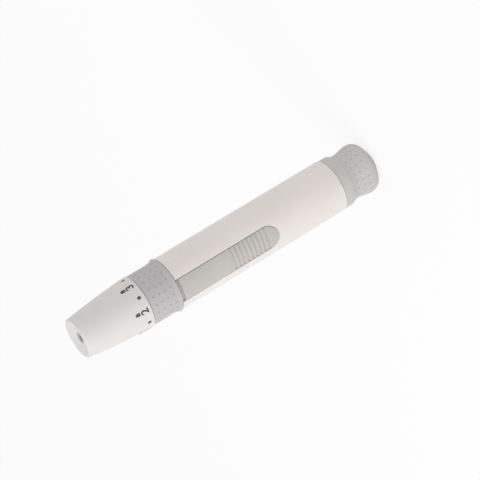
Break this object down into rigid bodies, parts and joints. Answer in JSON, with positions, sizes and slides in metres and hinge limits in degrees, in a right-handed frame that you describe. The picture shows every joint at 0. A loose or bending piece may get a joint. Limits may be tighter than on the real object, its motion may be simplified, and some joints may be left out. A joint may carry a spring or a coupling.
{
  "type": "lancing device",
  "caption": "Pen-shaped lancing device with a depth dial, pull-to-cock knob, push-button release and a thumb slider that ejects the lancet.",
  "frame": {"origin": "centre of the tail button's flat face, on which the pen stands", "axes": "+Z along the pen's axis, from the tail up to the nose; -Y towards the thumb slider"},
  "size_m": [0.0178, 0.0178, 0.1074],
  "materials": {
    "barrel_shell": "satin off-white moulded plastic",
    "dial_shell": "satin white moulded plastic",
    "inner_moulding": "natural white acetal",
    "slider": "light grey satin plastic",
    "grey_grip": "light grey satin plastic",
    "button": "white satin plastic",
    "spring_steel": "bright spring steel"
  },
  "bodies": {
    "barrel": {"barrel": "barrel_shell", "rear_bush": "inner_moulding", "chassis": "inner_moulding"},
    "knob": {"knob": "grey_grip", "knob_sleeve": "inner_moulding", "knob_spring": "spring_steel"},
    "button": {"release_button": "button", "release_pin": "spring_steel", "button_spring": "spring_steel"},
    "sear": {"sear_plate": "spring_steel"},
    "plunger": {"plunger_rod": "inner_moulding", "lancet_holder": "inner_moulding", "drive_spring": "spring_steel", "return_spring": "spring_steel"},
    "ejector": {"thumb_slider": "slider", "ejector_carriage": "slider"},
    "cap": {"cap_core": "inner_moulding", "grip_collar": "grey_grip"},
    "dial": {"dial": "dial_shell"},
    "depth_stop": {"depth_sleeve": "inner_moulding"}
  },
  "joints": [
    {"name": "knob_pull", "type": "slide", "parent": "barrel", "child": "knob", "axis": [0, 0, -1], "range_m": [0, 0.009], "stiffness_N_per_m": 150, "springref_m": -0.01, "deforming": ["knob_spring"]},
    {"name": "plunger_slide", "type": "slide", "parent": "barrel", "child": "plunger", "axis": [0, 0, -1], "range_m": [0, 0.009], "deforming": ["drive_spring", "return_spring"]},
    {"name": "button_push", "type": "slide", "parent": "knob", "child": "button", "axis": [0, 0, 1], "range_m": [0, 0.0012], "stiffness_N_per_m": 600, "springref_m": -0.002, "deforming": ["button_spring"]},
    {"name": "sear_slide", "type": "slide", "parent": "barrel", "child": "sear", "axis": [1, 0, 0], "range_m": [0, 0.0006]},
    {"name": "cap_pull", "type": "slide", "parent": "barrel", "child": "cap", "axis": [0, 0, 1], "range_m": [0, 0.06]},
    {"name": "ejector_slide", "type": "slide", "parent": "barrel", "child": "ejector", "axis": [0, 0, 1], "range_m": [0, 0.015]},
    {"name": "dial_turn", "type": "hinge", "parent": "cap", "child": "dial", "pos_m": [0, 0, 0.09], "axis": [0, 0, 1], "range_deg": [-180, 60]},
    {"name": "depth_slide", "type": "slide", "parent": "cap", "child": "depth_stop", "axis": [0, 0, 1], "range_m": [-0.0004, 0.0012]}
  ],
  "couplings": [
    {"joint": "plunger_slide", "follows": "knob_pull", "ratio": 1},
    {"joint": "sear_slide", "follows": "button_push", "ratio": 0.5},
    {"joint": "ejector_slide", "follows": "cap_pull", "ratio": 0.25},
    {"joint": "dial_turn", "follows": "depth_slide", "rad_per_m": -2618}
  ]
}
